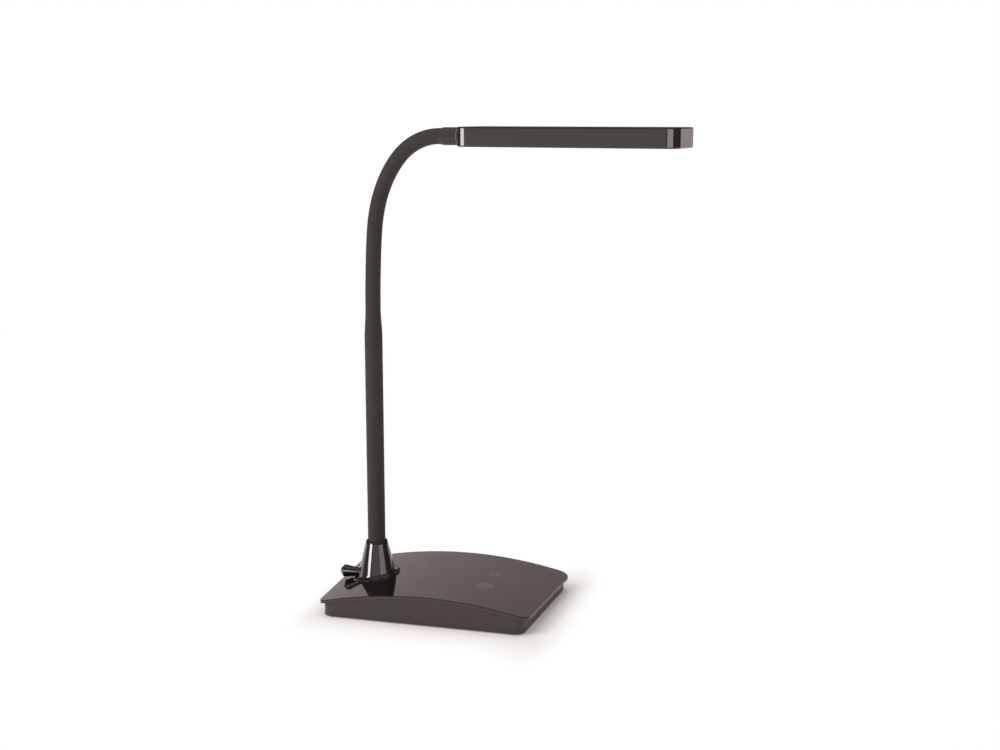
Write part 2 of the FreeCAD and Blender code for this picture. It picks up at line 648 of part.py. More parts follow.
def lower_tube():
    inner = "tube_radius - tube_wall"
    bottom = "shank_bottom - bush_flange - clip_thickness - 1.2"
    shoulder = "bush_radius - 0.2"
    profile = [(inner, bottom), ("tube_radius", bottom), ("tube_radius", "bush_top + fit_gap"),
               (shoulder, "bush_top + fit_gap"), (shoulder, "bush_top + 1.5"),
               ("tube_radius", "bush_top + 1.5"),
               ("tube_radius", "neck_start_height - cup_radius - 12"),
               ("tube_radius", "neck_start_height - cup_radius - 2"),
               (inner, "neck_start_height - cup_radius - 2")]
    return turned("lower_tube", profile, "stem_reach")


def lower_sleeve():
    inner = "tube_radius + fit_gap"
    top = "neck_start_height"
    profile = [("bush_radius - 0.15", "bush_top + 0.3"), ("stem_radius", "bush_top + 0.3"),
               ("stem_radius", f"{top} - taper_drop"), ("neck_radius", f"{top} - taper_drop + taper_length"),
               ("neck_radius", top), (inner, top), (inner, "bush_top + 1.8"),
               ("bush_radius - 0.15", "bush_top + 1.8")]
    cover = turned("stem_cover", profile, "stem_reach")
    ball = primitive("Sphere", "stem_cup", {"Radius": "cup_radius"}, "stem_reach", 0, "neck_start_height")
    return cut("lower_sleeve", cover, ball)


def retaining_clip():
    top = "shank_bottom - bush_flange - fit_gap"
    inner = "tube_radius + fit_gap"
    profile = [(inner, f"{top} - clip_thickness"), ("clip_radius", f"{top} - clip_thickness"),
               ("clip_radius", top),
               (inner, top)]
    return turned("retaining_clip", profile, "stem_reach")


def lower_lead():
    bottom = "shank_bottom - bush_flange - clip_thickness - 1.2"
    length = f"neck_start_height - ({bottom})"
    rod = cylinder("lead_rod", "lead_radius", length, "stem_reach", 0, bottom)
    ball = primitive("Sphere", "lead_cup", {"Radius": "cup_radius"}, "stem_reach", 0, "neck_start_height")
    return cut("lower_lead", rod, ball)


# Neck: eight bending links, each a rubber cover, a hose and a lead, that meet on balls about the
# bending points, so that they turn on each other without touching

def link_solid(outer, inner, turn, length):
    """A tube bent by an angle over a length, with a rounded foot and a hollow top."""
    ring = Part.Face(Part.Wire(Part.makeCircle(outer)))
    if inner > 0:
        ring = ring.cut(Part.Face(Part.Wire(Part.makeCircle(inner)))).Faces[0]
    bend = length / math.radians(turn)
    tube = ring.revolve(FreeCAD.Vector(bend, 0, 0), SIDE, turn)
    foot = ring.extrude(UP * -value("ball_radius")).common(Part.makeSphere(value("ball_radius")))
    end = FreeCAD.Vector(bend - bend * math.cos(math.radians(turn)), 0, bend * math.sin(math.radians(turn)))
    cup = Part.makeSphere(value("cup_radius"), end)
    return tube.fuse(foot).removeSplitter().cut(cup).Solids[0]


def link_end(turn, length):
    """Placement of a link's upper end in the link's own frame."""
    bend = length / math.radians(turn)
    end = FreeCAD.Vector(bend - bend * math.cos(math.radians(turn)), 0, bend * math.sin(math.radians(turn)))
    return FreeCAD.Placement(end, FreeCAD.Rotation(SIDE, turn))


def neck():
    """All links in a row; gives back their pieces and where the head starts."""
    here = FreeCAD.Placement(place("stem_reach", 0, "neck_start_height").Base,
                             FreeCAD.Rotation(UP, value("arm_angle")))
    layers = [("neck_sleeve", value("neck_radius"), value("neck_radius - neck_wall")),
              ("neck_hose", value("hose_radius"), value("hose_radius - hose_wall")),
              ("neck_lead", value("lead_radius"), 0)]
    pieces = []
    length = value("link_length")
    for link in range(1, 9):
        turn = value("neck_bend_angle_%d" % link)
        for label, outer, inner in layers:
            pieces.append(formed("%s_%d" % (label, link), link_solid(outer, inner, turn, length), here))
        here = here.multiply(link_end(turn, length))
    return pieces, here.multiply(FreeCAD.Placement(FreeCAD.Vector(), FreeCAD.Rotation(SIDE, -90)))


# Head: pieces are drawn level, with X along the head from the last bending point

HEAD_MIDDLE = "head_start + head_length / 2"
HEAD_BOTTOM = "-head_thickness / 2"
FRAME_TOP = "(frame_thickness - head_thickness / 2)"
DIFFUSER_TOP = f"({FRAME_TOP} + diffuser_thickness)"
STRIP_BOTTOM = "(head_thickness / 2 - head_wall - heat_plate_thickness - strip_thickness - seat_gap)"
SCREW_REACH = "(window_length / 2 + diffuser_lap + head_length / 2 - head_wall) / 2"
HEAD_SCREWS = [(f"{HEAD_MIDDLE} + {i} * {SCREW_REACH}", f"{j} * (head_width / 2 - head_screw_inset)")
               for i in (-1, 1) for j in (-1, 1)]
LEVEL = FreeCAD.Rotation(SIDE, 90)


def on_ball(name, tube):
    """Round the end of a tube that lies along X about the last bending point."""
    reach = value("ball_radius")
    ball = primitive("Sphere", name + "_ball", {"Radius": "ball_radius"})
    rest = block(name + "_rest", "head_length", "head_width", "head_width", "head_length / 2", 0,
                 "-head_width / 2")
    return common(name, tube, fuse(name + "_limit", ball, rest))


def end_sleeve():
    tube = turned("end_sleeve_tube", [
        ("hose_radius + 0.1", "-ball_radius"), ("neck_radius", "-ball_radius"),
        ("neck_radius", "ferrule_start"), ("hose_radius + 0.1", "ferrule_start")], rotation=LEVEL)
    return on_ball("end_sleeve", tube)


def end_tube():
    end = "head_start + ferrule_tail + ferrule_nut_height + hose_wall"
    tube = turned("end_tube_blank", [
        ("hose_radius - hose_wall", "-ball_radius"), ("hose_radius", "-ball_radius"),
        ("hose_radius", end), ("hose_radius - hose_wall", end)], rotation=LEVEL)
    return on_ball("end_tube", tube)


def end_lead():
    end = f"{HEAD_MIDDLE} - window_length / 2 - diffuser_lap - seat_gap"
    tube = turned("end_lead_blank", [(0, "-ball_radius"), ("lead_radius", "-ball_radius"),
                                     ("lead_radius", end),
                                     (0, end)], rotation=LEVEL)
    return on_ball("head_lead", tube)


def head_ferrule():
    inner = "hose_radius + fit_gap"
    edge = "0.8"
    return turned("head_ferrule", [
        (inner, "ferrule_start"), (f"ferrule_radius - {edge}", "ferrule_start"),
        ("ferrule_radius", f"ferrule_start + {edge}"), ("ferrule_radius", "head_start"),
        ("ferrule_tail_radius", "head_start"), ("ferrule_tail_radius", "head_start + ferrule_tail"),
        (inner, "head_start + ferrule_tail")], rotation=LEVEL)


def ferrule_nut():
    nut = doc.addObject("Part::Prism", "ferrule_nut_blank")
    nut.Polygon = 6
    nut.setExpression("Circumradius", formula("ferrule_nut_radius"))
    nut.setExpression("Height", formula("ferrule_nut_height"))
    flat_down = LEVEL.multiply(FreeCAD.Rotation(UP, 30))
    stand(nut, "head_start + ferrule_tail", 0, 0, flat_down)
    hole = cylinder("ferrule_nut_thread", "hose_radius + fit_gap", "head_start", "head_start", 0, 0, LEVEL)
    return cut("ferrule_nut", nut, hole)


def head_plan(inset):
    return rectangle(f"head_length - 2 * ({inset})", f"head_width - 2 * ({inset})", HEAD_MIDDLE)


def head_housing():
    outer = slab("head_blank", head_plan(0), "head_thickness", HEAD_BOTTOM, "head_corner")
    half = value("head_thickness") / 2

    def on_rim(edge):
        return all(abs(abs(v.Z) - half) < 1e-6 for v in edge.Vertexes) \
            and abs(edge.BoundBox.ZLength) < 1e-6
    rounded = filleted("head_rounded", outer, "head_edge", on_rim)
    hollow = slab("head_hollow", head_plan("head_wall"), "head_thickness - head_wall", HEAD_BOTTOM,
                  "head_corner - head_wall")
    shell = cut("head_shell", rounded, hollow)
    posts = [cylinder(f"head_post_{i}", "head_post_radius",
                      f"head_thickness / 2 - head_wall / 2 - {FRAME_TOP}", x, y,
                      FRAME_TOP) for i, (x, y) in enumerate(HEAD_SCREWS)]
    pilots = [cylinder(f"head_pilot_{i}", "head_screw_radius + fit_gap", "head_screw_length + 1", x, y,
                       f"{FRAME_TOP} - 1")
              for i, (x, y) in enumerate(HEAD_SCREWS)]
    neck_hole = cylinder("head_neck_hole", "ferrule_tail_radius + fit_gap", "head_wall * 2",
                         "head_start - head_wall / 2",
                         0, 0, LEVEL)
    return cut("head_housing", fuse("head_body", shell, *posts), neck_hole, *pilots)


def light_frame():
    blank = slab("frame_blank", head_plan("head_wall + 0.1"), "frame_thickness", f"{HEAD_BOTTOM} + 0.2",
                 "head_corner - head_wall - 0.1")
    limit = block("frame_limit", "head_length", "head_width", "frame_thickness - 0.2", HEAD_MIDDLE, 0,
                  f"{HEAD_BOTTOM} + 0.2")
    window = block("frame_window", "window_length", "window_width", "frame_thickness * 2", HEAD_MIDDLE, 0,
                   f"{HEAD_BOTTOM} - 1")
    tools = [window]
    for i, (x, y) in enumerate(HEAD_SCREWS):
        tools.append(cylinder(f"frame_hole_{i}", "head_screw_radius + seat_gap", "frame_thickness * 2", x, y,
                              f"{HEAD_BOTTOM} - 1"))
        tools.append(cylinder(f"frame_recess_{i}", "head_screw_head + seat_gap",
                              "1 + frame_thickness / 2", x, y,
                              f"{HEAD_BOTTOM} - 1"))
    return cut("light_frame", common("frame_flat", blank, limit), *tools)


def diffuser():
    return slab("diffuser", rectangle("window_length + 2 * diffuser_lap", "window_width + 2 * diffuser_lap",
                                      HEAD_MIDDLE), "diffuser_thickness", FRAME_TOP, "3")


def reflector():
    length, width = "window_length + 2 * diffuser_lap", "window_width + 2 * diffuser_lap"
    height = f"{STRIP_BOTTOM} - {DIFFUSER_TOP}"
    tray = block("reflector_blank", length, width, height, HEAD_MIDDLE, 0, DIFFUSER_TOP)
    hollow = block("reflector_hollow", f"{length} - 2 * reflector_wall", f"{width} - 2 * reflector_wall",
                   f"{height} - reflector_wall", HEAD_MIDDLE, 0, DIFFUSER_TOP)
    slot = block("reflector_slot", "window_length", "led_side + 3", height, HEAD_MIDDLE, 0, DIFFUSER_TOP)
    return cut("reflector", tray, hollow, slot)


def led_board():
    return block("led_board", "window_length + 3", "strip_width", "strip_thickness", HEAD_MIDDLE, 0,
                 STRIP_BOTTOM)


def leds():
    count = int(value("led_count"))
    pitch = "(window_length - 6) / (led_count - 1)"
    return group("leds", *[block(f"led_{i}", "led_side", "led_side", "led_height",
                                 f"{HEAD_MIDDLE} + ({i} - (led_count - 1) / 2) * {pitch}", 0,
                                 f"{STRIP_BOTTOM} - led_height") for i in range(count)])


def heat_plate():
    return block("heat_plate", "window_length + 4", "window_width", "heat_plate_thickness", HEAD_MIDDLE, 0,
                 f"{STRIP_BOTTOM} + strip_thickness")


def head_screws():
    screws = []
    for i, (x, y) in enumerate(HEAD_SCREWS):
        profile = [(0, 0), ("head_screw_head", 0), ("head_screw_head", "frame_thickness / 2 - 0.3"),
                   ("head_screw_radius", "frame_thickness / 2 - 0.3"),
                   ("head_screw_radius", "head_screw_length"),
                   (0, "head_screw_length")]
        screws.append(turned(f"head_screw_{i}", profile, x, y, f"{HEAD_BOTTOM} + 0.3"))
    return group("head_screws", *screws)


def carried(piece, placement):
    """Move a level head piece to its place at the end of the neck."""
    label = piece.Label
    piece.Label = label + "_level"
    doc.recompute()
    return formed(label, piece.Shape.copy(), placement.multiply(piece.Shape.Placement))


def build():
    marks = touch_marks("touch_icons", 0, "icon_depth")
    parts = [base_cover(marks), marks, base_housing(), base_screws(), ballast_plate(), foot_pad(),
             control_board(), board_components(), board_screws(), touch_springs(), dc_inlet(),
             inlet_contact(), collar(), collar_washer(), collar_nut(), swivel_bush(), lock_knob(),
             lock_screw(), lower_tube(), lower_sleeve(), retaining_clip(), lower_lead()]
    links, head_place = neck()
    parts += links
    for make in (end_sleeve, end_tube, end_lead, head_ferrule, ferrule_nut, head_housing, light_frame,
                 diffuser, reflector, led_board, leds, heat_plate, head_screws):
        parts.append(carried(make(), head_place))
    doc.recompute()
    return parts


def check(parts):
    """Stop with a plain message if any object failed or any sub-part is not a sound solid."""
    for piece in doc.Objects:
        if "Invalid" in piece.State or "Error" in piece.State:
            raise SystemExit("failed object: %s %s" % (piece.Label, piece.State))
    for piece in parts:
        if piece.Shape.isNull() or not piece.Shape.isValid() or not piece.Shape.Solids:
            raise SystemExit("bad shape: " + piece.Label)


subparts = build()
check(subparts)
os.makedirs("parts", exist_ok=True)
for piece in subparts:
    piece.Shape.exportStep("parts/%s.step" % piece.Label)
    print("%-18s %3d solid(s) %12.1f mm3" % (piece.Label, len(piece.Shape.Solids), piece.Shape.Volume))
print(len(subparts), "sub-parts")
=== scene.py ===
import json
import math

import bpy
import numpy as np
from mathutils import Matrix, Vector


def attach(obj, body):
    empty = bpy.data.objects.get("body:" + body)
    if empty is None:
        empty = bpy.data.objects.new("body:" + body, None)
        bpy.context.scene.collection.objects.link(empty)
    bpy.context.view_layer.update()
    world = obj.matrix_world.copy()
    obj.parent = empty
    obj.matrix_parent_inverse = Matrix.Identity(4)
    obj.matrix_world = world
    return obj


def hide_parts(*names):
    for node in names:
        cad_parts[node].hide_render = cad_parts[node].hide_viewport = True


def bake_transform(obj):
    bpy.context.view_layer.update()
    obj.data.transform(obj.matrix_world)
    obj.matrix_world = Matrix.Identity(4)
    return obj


# Gooseneck desk lamp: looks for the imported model. Metres, Z up, origin on the desk under the base.

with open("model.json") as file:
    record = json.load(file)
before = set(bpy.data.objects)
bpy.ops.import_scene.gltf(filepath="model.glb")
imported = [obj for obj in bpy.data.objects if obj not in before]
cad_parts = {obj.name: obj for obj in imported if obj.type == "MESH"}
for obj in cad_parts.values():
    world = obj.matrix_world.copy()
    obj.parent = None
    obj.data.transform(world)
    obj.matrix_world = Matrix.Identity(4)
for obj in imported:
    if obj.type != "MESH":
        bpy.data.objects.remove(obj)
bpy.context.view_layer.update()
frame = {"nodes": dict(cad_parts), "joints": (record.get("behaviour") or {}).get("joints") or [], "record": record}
nodes = frame["nodes"]
joints = {joint["name"]: joint for joint in frame["joints"]}
print("frame loaded:", len(nodes), "nodes")

mm = 0.001


# Meshes from arrays

def gridQuads(rings, steps, wrapRings, wrapSteps):
    # quads between neighbouring rings and steps of a grid, as one array of vertex numbers
    i = np.arange(rings if wrapRings else rings - 1)[:, None]
    j = np.arange(steps if wrapSteps else steps - 1)[None, :]
    iNext, jNext = (i + 1) % rings, (j + 1) % steps
    quads = np.stack([i * steps + j, i * steps + jNext, iNext * steps + jNext, iNext * steps + j], axis=-1)
    return quads.reshape(-1, 4)


def addPiece(name, points, faces, material, sharpDeg=32):
    # one mesh object at the origin, smooth apart from edges that are sharper than sharpDeg
    mesh = bpy.data.meshes.new(name)
    mesh.from_pydata(points.reshape(-1, 3).tolist(), [], faces)
    mesh.materials.append(material)
    mesh.polygons.foreach_set("use_smooth", np.ones(len(mesh.polygons), dtype=bool))
    mesh.set_sharp_from_angle(angle=math.radians(sharpDeg))
    mesh.update()
    piece = bpy.data.objects.new(name, mesh)
    bpy.context.scene.collection.objects.link(piece)
    return piece


def addLoopSurface(name, points, material, wrapRings=False, sharpDeg=32):
    # points[ring, step]: closed loops in a row; with wrapRings the last ring meets the first
    rings, steps = points.shape[:2]
    return addPiece(name, points, gridQuads(rings, steps, wrapRings, True).tolist(), material, sharpDeg)


def addTurned(name, points, poles, material, sharpDeg=32):
    # points[ring, step] round an axis, closed at both ends by a fan to a pole point
    rings, steps = points.shape[:2]
    faces = gridQuads(rings, steps, False, True).tolist()
    first, last = rings * steps, rings * steps + 1
    step = np.arange(steps)
    after = (step + 1) % steps
    faces += np.stack([np.full(steps, first), after, step], axis=-1).tolist()
    tail = (rings - 1) * steps
    faces += np.stack([np.full(steps, last), tail + step, tail + after], axis=-1).tolist()
    return addPiece(name, np.vstack([points.reshape(-1, 3), poles]), faces, material, sharpDeg)


def roundedProfile(corners, radii, arcSteps=6):
    # open line through corners in a plane; each inner corner is an arc of its radius, tangent to both sides
    corners = np.asarray(corners, float)
    line = [corners[0]]
    for before, here, after, radius in zip(corners[:-2], corners[1:-1], corners[2:], radii):
        toBefore, toAfter = before - here, after - here
        toBefore, toAfter = toBefore / np.linalg.norm(toBefore), toAfter / np.linalg.norm(toAfter)
        half = math.acos(np.clip(toBefore @ toAfter, -1, 1)) / 2
        if radius == 0 or abs(half - math.pi / 2) < 1e-4:
            line.append(here)
            continue
        centre = here + (toBefore + toAfter) / np.linalg.norm(toBefore + toAfter) * radius / math.sin(half)
        start, end = here + toBefore * radius / math.tan(half), here + toAfter * radius / math.tan(half)
        a0, a1 = start - centre, end - centre
        turn = math.atan2(a0[0] * a1[1] - a0[1] * a1[0], a0 @ a1)
        angle = np.linspace(0, turn, arcSteps + 1)
        cos, sin = np.cos(angle), np.sin(angle)
        line += list(centre + np.stack([a0[0] * cos - a0[1] * sin, a0[0] * sin + a0[1] * cos], axis=-1))
    line.append(corners[-1])
    return np.array(line)


# Node groups for effects that several materials share

def newGroup(name, inputs, outputs):
    group = bpy.data.node_groups.new(name, "ShaderNodeTree")
    for label, kind, default in inputs:
        socket = group.interface.new_socket(label, in_out="INPUT", socket_type=kind)
        socket.default_value = default
    for label, kind in outputs:
        group.interface.new_socket(label, in_out="OUTPUT", socket_type=kind)
    return group, group.nodes.new("NodeGroupInput"), group.nodes.new("NodeGroupOutput")


def link(tree, source, target):
    tree.links.new(source, target)


def setOrLink(tree, socket, value):
    # another node's output is linked, a number or a colour is set
    if isinstance(value, bpy.types.NodeSocket):
        link(tree, value, socket)
    elif isinstance(value, tuple):
        socket.default_value = (*value, 1.0)
    else:
        socket.default_value = value


def mathNode(tree, operation, first, second=None, clamp=False):
    node = tree.nodes.new("ShaderNodeMath")
    node.operation = operation
    node.use_clamp = clamp
    setOrLink(tree, node.inputs[0], first)
    if second is not None:
        setOrLink(tree, node.inputs[1], second)
    return node.outputs[0]


def noiseNode(tree, vector, scale, detail=2.0, roughness=0.5):
    node = tree.nodes.new("ShaderNodeTexNoise")
    node.inputs["Detail"].default_value = detail
    node.inputs["Roughness"].default_value = roughness
    link(tree, vector, node.inputs["Vector"])
    setOrLink(tree, node.inputs["Scale"], scale)
    return node.outputs["Fac"]


def rampNode(tree, factor, low, high, bottom=0.0, top=1.0, smooth=False):
    # bottom below low, top above high, straight or smooth between
    node = tree.nodes.new("ShaderNodeMapRange")
    node.interpolation_type = "SMOOTHSTEP" if smooth else "LINEAR"
    for label, value in (("Value", factor), ("From Min", low), ("From Max", high), ("To Min", bottom),
                         ("To Max", top)):
        setOrLink(tree, node.inputs[label], value)
    return node.outputs["Result"]


def mixNode(tree, kind, factor, first, second):
    # kind is FLOAT or RGBA; first at factor 0, second at factor 1
    node = tree.nodes.new("ShaderNodeMix")
    node.data_type = kind
    for label, value in (("Factor", factor), ("A", first), ("B", second)):
        setOrLink(tree, node.inputs[label], value)
    return node.outputs["Result"]


# noise sizes, where a mask starts and is full, and how strongly it counts
effects = {"slowToneSize": 22.0, "speckShare": 0.5, "smearFrom": 0.48, "smearTo": 0.80, "dustSize": 1400.0,
           "dustFrom": 0.74, "dustTo": 0.80, "dustStrength": 0.6, "rimFrom": 0.35, "rimTo": 0.8}


def buildGrain():
    # moulded grain: fine bumps of a given size and a slow change of tone and roughness
    group, start, end = newGroup("mouldedGrain",
                                 [("Size", "NodeSocketFloat", 900.0), ("Depth", "NodeSocketFloat", 1.0),
                                  ("Colour", "NodeSocketColor", (0.1, 0.1, 0.1, 1)),
                                  ("Tone Shift", "NodeSocketFloat", 0.15),
                                  ("Roughness", "NodeSocketFloat", 0.4),
                                  ("Roughness Shift", "NodeSocketFloat", 0.08)],
                                 [("Colour", "NodeSocketColor"), ("Roughness", "NodeSocketFloat"),
                                  ("Height", "NodeSocketFloat")])
    coordinates = group.nodes.new("ShaderNodeTexCoord").outputs["Object"]
    fine = noiseNode(group, coordinates, start.outputs["Size"], 3.0, 0.6)
    slow = noiseNode(group, coordinates, effects["slowToneSize"], 3.0, 0.55)
    height = mathNode(group, "MULTIPLY", fine, start.outputs["Depth"])
    centred = mathNode(group, "SUBTRACT", slow, 0.5)
    speck = mathNode(group, "MULTIPLY", mathNode(group, "SUBTRACT", fine, 0.5), effects["speckShare"])
    both = mathNode(group, "ADD", centred, speck)
    tone = mathNode(group, "ADD", mathNode(group, "MULTIPLY", both, start.outputs["Tone Shift"]), 1.0)
    scaled = group.nodes.new("ShaderNodeVectorMath")
    scaled.operation = "SCALE"
    link(group, start.outputs["Colour"], scaled.inputs[0])
    link(group, tone, scaled.inputs["Scale"])
    rough = mathNode(group, "ADD", start.outputs["Roughness"],
                     mathNode(group, "MULTIPLY", both, start.outputs["Roughness Shift"]), clamp=True)
    link(group, scaled.outputs[0], end.inputs["Colour"])
    link(group, rough, end.inputs["Roughness"])
    link(group, height, end.inputs["Height"])
    return group


def buildDust():
    # handling marks: faint smears and sparse dust specks, as a mask from 0 to 1
    group, start, end = newGroup("handlingMarks",
                                 [("Smear Size", "NodeSocketFloat", 18.0),
                                  ("Amount", "NodeSocketFloat", 0.5)],
                                 [("Mask", "NodeSocketFloat")])
    coordinates = group.nodes.new("ShaderNodeTexCoord").outputs["Object"]
    cloudy = noiseNode(group, coordinates, start.outputs["Smear Size"], 5.0, 0.62)
    smear = rampNode(group, cloudy, effects["smearFrom"], effects["smearTo"])
    fine = noiseNode(group, coordinates, effects["dustSize"], 1.0, 0.4)
    speck = rampNode(group, fine, effects["dustFrom"], effects["dustTo"])
    faint = mathNode(group, "MULTIPLY", speck, effects["dustStrength"])
    both = mathNode(group, "ADD", smear, faint, clamp=True)
    link(group, mathNode(group, "MULTIPLY", both, start.outputs["Amount"]), end.inputs["Mask"])
    return group


grainGroup = buildGrain()
dustGroup = buildDust()


def placeGroup(tree, group, values):
    node = tree.nodes.new("ShaderNodeGroup")
    node.node_tree = group
    for label, value in values.items():
        setOrLink(tree, node.inputs[label], value)
    return node


def newMaterial(name):
    material = bpy.data.materials.new(name)
    material.use_nodes = True
    tree = material.node_tree
    return material, tree, tree.nodes["Principled BSDF"]


def addBump(tree, shader, height, strength, distance):
    # strength as a share, distance in metres
    bump = tree.nodes.new("ShaderNodeBump")
    bump.inputs["Strength"].default_value = strength
    bump.inputs["Distance"].default_value = distance
    link(tree, height, bump.inputs["Height"])
    link(tree, bump.outputs["Normal"], shader.inputs["Normal"])


def grainMaterial(name, finish):
    # a moulded, painted or sheet finish with grain; marks lift the colour and the roughness a little
    material, tree, shader = newMaterial(name)
    grain = placeGroup(tree, grainGroup, {"Size": finish["grainSize"], "Depth": 1.0,
                                          "Colour": finish["colour"], "Tone Shift": finish["toneShift"],
                                          "Roughness": finish["roughness"],
                                          "Roughness Shift": finish["roughnessShift"]})
    marks = placeGroup(tree, dustGroup, {"Smear Size": finish["smearSize"], "Amount": finish["marks"]})
    mask = marks.outputs["Mask"]
    surface = mixNode(tree, "RGBA", mask, grain.outputs["Colour"], finish["dustColour"])
    if "paintedRimReflection" in finish:  # painted reflection: the upright rim gets a lighter colour than the top, standing in for the pale floor that it reflects
        facing = tree.nodes.new("ShaderNodeSeparateXYZ")
        link(tree, tree.nodes.new("ShaderNodeNewGeometry").outputs["Normal"], facing.inputs["Vector"])
        top = rampNode(tree, facing.outputs["Z"], effects["rimFrom"], effects["rimTo"])
        surface = mixNode(tree, "RGBA", top, finish["paintedRimReflection"], surface)
    link(tree, surface, shader.inputs["Base Color"])
    added = mathNode(tree, "MULTIPLY", mask, finish["markRoughness"])
    rougher = mathNode(tree, "ADD", grain.outputs["Roughness"], added, clamp=True)
    link(tree, rougher, shader.inputs["Roughness"])
    addBump(tree, shader, grain.outputs["Height"], finish["bump"], finish["bumpDepth"])
    for label, value in (("Metallic", "metallic"), ("IOR", "ior"), ("Coat Weight", "coat"),
                         ("Coat Roughness", "coatRoughness")):
        shader.inputs[label].default_value = finish[value]
    return material


# what a finish has where it doesn't say otherwise; bumpDepth in metres, colours as linear light
plainFinish = {"toneShift": 0.15, "roughnessShift": 0.08, "smearSize": 18.0, "marks": 0.2,
               "dustColour": (0.16, 0.15, 0.14), "markRoughness": 0.25, "bump": 0.25, "bumpDepth": 0.00003,
               "metallic": 0.0, "ior": 1.5, "coat": 0.0, "coatRoughness": 0.1}
finishes = {
    "glossPlate": {"colour": (0.0075, 0.0062, 0.0060), "roughness": 0.06, "roughnessShift": 0.03,
                   "grainSize": 420.0, "bump": 0.015, "marks": 0.035, "markRoughness": 0.16, "ior": 1.5,
                   "smearSize": 26.0, "dustColour": (0.10, 0.093, 0.09),
                   # painted reflection: the plate's upright rim has a lighter colour for the pale floor that it
                   # reflects
                   "paintedRimReflection": (0.050, 0.041, 0.039)},
    "trayPlastic": {"colour": (0.052, 0.0400, 0.0385), "roughness": 0.36, "grainSize": 1500.0,
                    "bump": 0.14, "marks": 0.05, "ior": 1.46},
    "headPlastic": {"colour": (0.019, 0.0165, 0.0160), "roughness": 0.07, "roughnessShift": 0.02,
                    "grainSize": 1300.0, "bump": 0.02, "marks": 0.03, "markRoughness": 0.12, "ior": 1.5,
                    "coat": 0.6, "coatRoughness": 0.04},
    "collarGloss": {"colour": (0.0075, 0.0062, 0.0062), "roughness": 0.05, "roughnessShift": 0.02,
                    "grainSize": 380.0, "bump": 0.01, "marks": 0.02, "markRoughness": 0.1, "ior": 1.6,
                    "coat": 1.0, "coatRoughness": 0.03},
    "neckRubber": {"colour": (0.0465, 0.0400, 0.0375), "roughness": 0.55, "grainSize": 1700.0,
                   "bump": 0.20, "marks": 0.07, "ior": 1.35},
    "ferruleRubber": {"colour": (0.052, 0.0430, 0.0415), "roughness": 0.42, "grainSize": 1900.0,
                      "bump": 0.22, "marks": 0.05, "ior": 1.4},
    # painted highlight: a lighter colour for the lit faces of the ferrule's groove
    "paintedGrooveHighlight": {"colour": (0.150, 0.135, 0.130), "roughness": 0.35, "grainSize": 1900.0, "bump": 0.1,
                  "marks": 0.05},
    "plainSteel": {"colour": (0.50, 0.50, 0.51), "roughness": 0.34, "grainSize": 700.0, "bump": 0.10,
                   "metallic": 1.0, "marks": 0.10},
    "padRubber": {"colour": (0.030, 0.029, 0.028), "roughness": 0.85, "grainSize": 1000.0, "bump": 0.6,
                  "bumpDepth": 0.0001, "marks": 0.25},
    "markPrint": {"colour": (0.150, 0.140, 0.137), "roughness": 0.16, "grainSize": 2400.0, "bump": 0.02,
                  "marks": 0.04},
    "boardGreen": {"colour": (0.020, 0.115, 0.045), "roughness": 0.35, "grainSize": 600.0, "bump": 0.12,
                   "marks": 0.1},
    "componentBlack": {"colour": (0.022, 0.022, 0.024), "roughness": 0.5, "grainSize": 1400.0, "bump": 0.3,
                       "marks": 0.1},
    "ledYellow": {"colour": (0.80, 0.66, 0.22), "roughness": 0.4, "grainSize": 1800.0, "bump": 0.1,
                  "marks": 0.05, "dustColour": (0.6, 0.58, 0.5)},
    "opalPanel": {"colour": (0.80, 0.80, 0.78), "roughness": 0.42, "grainSize": 1600.0, "bump": 0.12,
                  "marks": 0.05, "toneShift": 0.04, "dustColour": (0.6, 0.6, 0.58)},
    "whiteTray": {"colour": (0.80, 0.80, 0.79), "roughness": 0.3, "grainSize": 1200.0, "bump": 0.1,
                  "marks": 0.05, "toneShift": 0.04, "dustColour": (0.6, 0.6, 0.58)},
    "aluminiumSheet": {"colour": (0.78, 0.78, 0.79), "roughness": 0.36, "grainSize": 900.0, "bump": 0.12,
                       "metallic": 1.0, "marks": 0.08},
    "brassPin": {"colour": (0.78, 0.57, 0.25), "roughness": 0.22, "grainSize": 900.0, "bump": 0.06,
                 "metallic": 1.0, "marks": 0.06},
    "nylonBush": {"colour": (0.62, 0.59, 0.52), "roughness": 0.5, "grainSize": 1200.0, "bump": 0.2,
                  "marks": 0.1, "toneShift": 0.06},
    "leadSheath": {"colour": (0.020, 0.020, 0.021), "roughness": 0.45, "grainSize": 1500.0, "bump": 0.2,
                   "marks": 0.1},
}
materials = {name: grainMaterial(name, {**plainFinish, **finish}) for name, finish in finishes.items()}
print("materials:", len(materials))

slotFinish = {"gloss_black": "glossPlate", "matte_black": "trayPlastic", "satin_black": "collarGloss",
              "neck_rubber": "neckRubber", "steel": "plainSteel", "pad_rubber": "padRubber",
              "touch_mark": "markPrint", "circuit_board": "boardGreen", "components": "componentBlack",
              "led": "ledYellow", "diffuser": "opalPanel", "reflector_white": "whiteTray",
              "aluminium": "aluminiumSheet", "brass": "brassPin", "nylon": "nylonBush",
              "lead_sheath": "leadSheath"}
ownFinish = {"head_housing": "headPlastic", "light_frame": "headPlastic"}

for part in frame["record"]["subparts"]:
    node = nodes[part["node"]]
    finish = materials[ownFinish.get(part["node"], slotFinish[part["material_slot"]])]
    if not node.material_slots:
        node.data.materials.append(finish)
    for slot in node.material_slots:
        slot.material = finish


# Stem and neck: one smooth rubber cover. The stem's part narrows towards the neck, and the neck's is
# in pieces that each reach across one joint, curved along the neck

